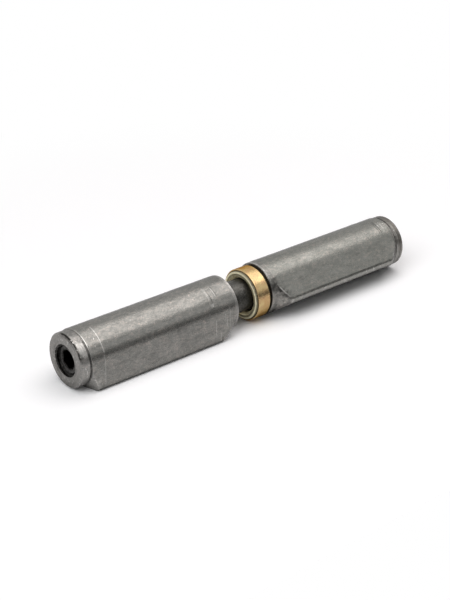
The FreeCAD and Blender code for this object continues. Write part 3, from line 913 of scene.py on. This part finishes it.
def plated_material(name, colours, rough_low, rough_high, stains_and_light=(), grime_and_slot_shade=0.0, waviness=0.012,
                    edge_tint=EDGE_TINT):
    """Yellow chromate plating on the bearing, which drifts between its colours, may be grimy and painted with
    shade, and may have rings of stain or of painted light and shade.

    Each such ring is a colour, how much of it there is, and the two radii about the bearing's axis between
    which it fades in. Such a ring is dull and isn't metal.
    """
    s = Shader(name, Metallic=1.0, Specular_Tint=edge_tint, Specular_IOR_Level=0.15)
    drift = s.noise(s.stretched(6.0, 5.0, 5.0), detail=2.0, distortion=0.8)
    cloud = s.noise(s.stretched(1.8, 1.5, 1.5), detail=4.0)
    hair = s.noise(s.stretched(0.16, 3.0, 3.0), roughness=0.7)
    colour = s.mix(s.between(drift, 0.36, 0.64), colours[0], colours[1])
    colour = s.mix(s.between(cloud, 0.48, 0.72, 0.0, 0.7), colour, colours[2])
    colour = s.mix(s.between(hair, 0.55, 0.75, 0.0, 0.25), colour, (0.9, 0.8, 0.5))
    if grime_and_slot_shade:
        colour = s.mix(s.between(cloud, 0.2, 0.8, 0.0, grime_and_slot_shade), colour, (0.02, 0.018, 0.012))
    rough = s.between(cloud, 0.3, 0.7, rough_low, rough_high)
    stain_or_light_share = None
    for stain_or_light, share, bare, full in stains_and_light:
        spread = s.between(s.radius(BEARING_AXIS), bare, full, 0.0, share)
        spread = s.math("MULTIPLY", spread, s.between(cloud, 0.3, 0.5, 1.0, 0.8))
        colour = s.mix(spread, colour, stain_or_light)
        stain_or_light_share = s.math("MAXIMUM", stain_or_light_share, spread) if stain_or_light_share else spread
    if stain_or_light_share:
        rough = s.math("ADD", rough, s.math("MULTIPLY", stain_or_light_share, 0.4))
        s.connect(Metallic=s.math("SUBTRACT", 1.0, stain_or_light_share))
    height = s.math("ADD", hair, s.math("MULTIPLY", cloud, 1.5))
    return s.connect(Base_Color=colour, Roughness=rough, Normal=s.bump(height, waviness, 0.6))


def plain_steel_material(name, colour, rough):
    """Clean inner steel with a film of oil."""
    s = Shader(name, Metallic=1.0)
    cloud = s.noise(s.stretched(1.2, 1.0, 1.0))
    tinted = s.mix(s.between(cloud, 0.3, 0.7, 0.0, 0.5), colour, (0.30, 0.26, 0.18))
    return s.connect(
        Base_Color=tinted, Roughness=s.between(cloud, 0.3, 0.7, rough, rough + 0.12),
        Normal=s.bump(cloud, 0.01, 0.4))


def paint(piece, material):
    """Gives a piece this one material."""
    piece.data.materials.clear()
    piece.data.materials.append(material)


def dress_part():
    """Makes the pieces that replace the frame's nodes, and gives every piece its material."""
    upper_steel = steel_material("upper_bar_steel", (0.155, 0.154, 0.144), (0.200, 0.197, 0.184),
                                 (0.258, 0.252, 0.240), 0.17)
    lower_steel = steel_material("lower_bar_steel", (0.153, 0.155, 0.142), (0.199, 0.199, 0.183),
                                 (0.205, 0.201, 0.187), 0.12)
    made = [
        (make_upper_barrel(), "upper_barrel", "upper_barrel_body", "bar_steel", upper_steel),
        (make_lower_barrel(), "lower_barrel", "lower_barrel_body", "bar_steel", lower_steel),
        (make_set_screw(), "set_screw", "set_screw_body", "black_oxide", black_oxide_material()),
        (make_pin(), "pin", "lower_barrel_body", "pin_steel", pin_material()),
    ]
    for piece, node, body, slot, material in made:
        paint(piece, material)
        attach(piece, body)
        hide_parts(node)
    gold = plated_material(
        "band_gold", [(0.44, 0.29, 0.14), (0.50, 0.38, 0.19), (0.43, 0.24, 0.14)], 0.18, 0.28,
        stains_and_light=[((0.02, 0.013, 0.007), 0.95, 9.36, 9.22)], waviness=0.06,
        edge_tint=(0.48, 0.34, 0.23, 1.0))
    # The pale washer's rings: painted shade on its inner face, a painted pale reflection near its rim, a dark
    # line at its edge, and a painted glint on its chamfer
    pale = plated_material(
        "washer_pale", [(0.62, 0.55, 0.33), (0.72, 0.69, 0.50), (0.56, 0.46, 0.26)], 0.32, 0.46,
        stains_and_light=[((0.07, 0.055, 0.03), 0.85, 7.38, 7.46), ((1.0, 0.94, 0.68), 1.0, 8.08, 8.22),
                ((0.04, 0.028, 0.015), 0.9, 8.76, 8.84), ((0.88, 0.76, 0.48), 0.8, 7.30, 7.15)])
    # The lower washer: grimy, and painted nearly black as the shade of the slot it sits in
    dull = plated_material(
        "washer_dull", [(0.10, 0.09, 0.06), (0.14, 0.12, 0.08), (0.07, 0.05, 0.03)], 0.4, 0.5, grime_and_slot_shade=0.8)
    cage = plain_steel_material("cage_steel", (0.42, 0.41, 0.39), 0.35)
    ball = plain_steel_material("ball_steel", (0.66, 0.66, 0.67), 0.12)
    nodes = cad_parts
    paint(nodes["bearing_band"], gold)
    paint(nodes["upper_washer"], pale)
    paint(nodes["lower_washer"], dull)
    paint(nodes["ball_cage"], cage)
    for name, node in nodes.items():
        if name.startswith("ball_") and name != "ball_cage":
            paint(node, ball)


# The table's colour where it lights other things, and where it is seen
TABLE_PLAIN = (0.78, 0.78, 0.77)
TABLE_SEEN = (1.035, 1.045, 1.06)

# Between these distances from the part, in metres, the table that is seen fades to plain white
TABLE_FADE = (0.11, 0.22)

# How far the table reaches to the sides and back, and where its front edge is, in metres
TABLE_REACH = 9.0
TABLE_FRONT = -0.12

# How far the table lies below the part, in millimetres
TABLE_DROP = 0.02


def table_material():
    """Pale where it lights other things. Where it is seen it shows its shadow, and fades to white far off."""
    material = bpy.data.materials.new("table_top")
    n = Nodes(material)
    n.nodes.remove(n.nodes["Principled BSDF"])
    path = n.nodes.new("ShaderNodeLightPath").outputs
    seen = n.math("MAXIMUM", path["Is Camera Ray"], path["Is Glossy Ray"])
    seen = n.math("MAXIMUM", seen, path["Is Transmission Ray"])
    diffuse = n.add("ShaderNodeBsdfDiffuse", {"Color": n.mix(seen, TABLE_PLAIN, TABLE_SEEN)}).outputs[0]
    place = n.nodes.new("ShaderNodeNewGeometry").outputs["Position"]
    distance = n.add("ShaderNodeVectorMath", {0: place}, operation="LENGTH").outputs["Value"]
    faded = n.math("MULTIPLY", n.between(distance, *TABLE_FADE, smooth=True), seen)
    white = n.nodes.new("ShaderNodeEmission").outputs[0]
    surface = n.add("ShaderNodeMixShader", {0: faded, 1: diffuse, 2: white}).outputs[0]
    n.links.new(surface, n.nodes["Material Output"].inputs["Surface"])
    return material


def make_table():
    """A pale table under the part, whose front edge is close in front of it."""
    mesh = bpy.data.meshes.new("table_top")
    corners = [(-TABLE_REACH, TABLE_FRONT, 0), (TABLE_REACH, TABLE_FRONT, 0),
               (TABLE_REACH, TABLE_REACH, 0), (-TABLE_REACH, TABLE_REACH, 0)]
    mesh.from_pydata(corners, [], [(0, 1, 2, 3)])
    mesh.materials.append(table_material())
    table = bpy.data.objects.new("table_top", mesh)
    bpy.context.collection.objects.link(table)
    table.location.z = -TABLE_DROP * MM


# How strong the room shows in the metal, in its dim low stretch in front of the table too, how much stronger
# it is behind the table, and how strong it is where it only lights things
ROOM_IN_METAL = 1.0
ROOM_DIM = 0.19
ROOM_BEHIND = 0.14
ROOM_LIGHT = 0.22

# How fast the dim stretch and the stronger back come in with the direction's y, and between which heights of
# the direction the dim stretch ends
DIM_GAIN = -2.2
BEHIND_GAIN = 1.6
DIM_HEIGHTS = (0.12, 0.34)


def make_room():
    """The world: white where the camera looks past the table, and a soft studio for the light."""
    world = bpy.data.worlds.new("studio")
    bpy.context.scene.world = world
    n = Nodes(world)
    direction = n.nodes.new("ShaderNodeTexCoord").outputs["Generated"]
    towards = n.add("ShaderNodeSeparateXYZ", {0: direction}).outputs
    in_front = n.math("MULTIPLY", towards["Y"], DIM_GAIN, clamp=True)
    dimmed = n.math("MULTIPLY", in_front, n.between(towards["Z"], *DIM_HEIGHTS, 1.0, 0.0, smooth=True))
    behind = n.math("MULTIPLY", towards["Y"], BEHIND_GAIN, clamp=True)
    metal = n.between(dimmed, 0.0, 1.0, ROOM_IN_METAL, ROOM_DIM)
    metal = n.math("ADD", metal, n.math("MULTIPLY", behind, ROOM_BEHIND))
    path = n.nodes.new("ShaderNodeLightPath").outputs
    camera = n.math("MAXIMUM", path["Is Camera Ray"], path["Is Transmission Ray"])
    strength = n.choose(camera, n.choose(path["Is Glossy Ray"], ROOM_LIGHT, metal), 1.0)
    n.feed(n.nodes["Background"].inputs["Color"], (1, 1, 1, 1))
    n.feed(n.nodes["Background"].inputs["Strength"], strength)


def aimed(item, target):
    """Turns a light or the camera towards a place."""
    item.rotation_mode = "QUATERNION"
    item.rotation_quaternion = (Vector(target) - item.location).to_track_quat("-Z", "Y")


# The two softboxes: place and width in metres, the brightness that each shows in a mirror, and colour. The
# overhead one points straight down.
SOFTBOXES = {
    "overhead_softbox": ((0.44, -0.16, 1.2), 1.57, 1.85, (1.0, 0.955, 0.94)),
    "left_softbox": ((-0.85, -0.25, 1.0), 1.0, 3.3, (1.0, 1.0, 1.0)),
}


def make_softboxes():
    """The round softboxes, the left one turned to the part."""
    for name, (place, width, radiance, colour) in SOFTBOXES.items():
        data = bpy.data.lights.new(name, "AREA")
        data.shape = "DISK"
        data.size = width
        area = math.pi * width ** 2 / 4
        data.energy = radiance * math.pi * area
        data.color = colour
        light = bpy.data.objects.new(name, data)
        bpy.context.collection.objects.link(light)
        light.location = place
    aimed(bpy.data.objects["left_softbox"], (0, 0, 0.01))


# The camera, in metres and degrees. It is fitted to the photograph, whose long side is 600 pixels.
CAMERA_PLACE = (-0.29723, -0.34867, 0.24249)
CAMERA_AZIMUTH = -39.7245
CAMERA_ELEVATION = 27.0265
FOCAL_LENGTH_PIXELS = 1438.7
PHOTO_LONG_SIDE = 600
SENSOR_WIDTH = 36.0


def make_camera():
    """The camera of the photograph."""
    data = bpy.data.cameras.new("photo_camera")
    data.sensor_width = SENSOR_WIDTH
    data.lens = FOCAL_LENGTH_PIXELS * SENSOR_WIDTH / PHOTO_LONG_SIDE
    data.clip_start = 0.01
    data.clip_end = 50
    camera = bpy.data.objects.new("photo_camera", data)
    bpy.context.collection.objects.link(camera)
    camera.location = CAMERA_PLACE
    azimuth = math.radians(CAMERA_AZIMUTH)
    elevation = math.radians(CAMERA_ELEVATION)
    ahead = Vector((-math.sin(azimuth) * math.cos(elevation), math.cos(azimuth) * math.cos(elevation),
                    -math.sin(elevation)))
    aimed(camera, camera.location + ahead)
    bpy.context.scene.camera = camera


dress_part()
make_table()
make_room()
make_softboxes()
make_camera()
bpy.context.scene.view_settings.view_transform = "Standard"
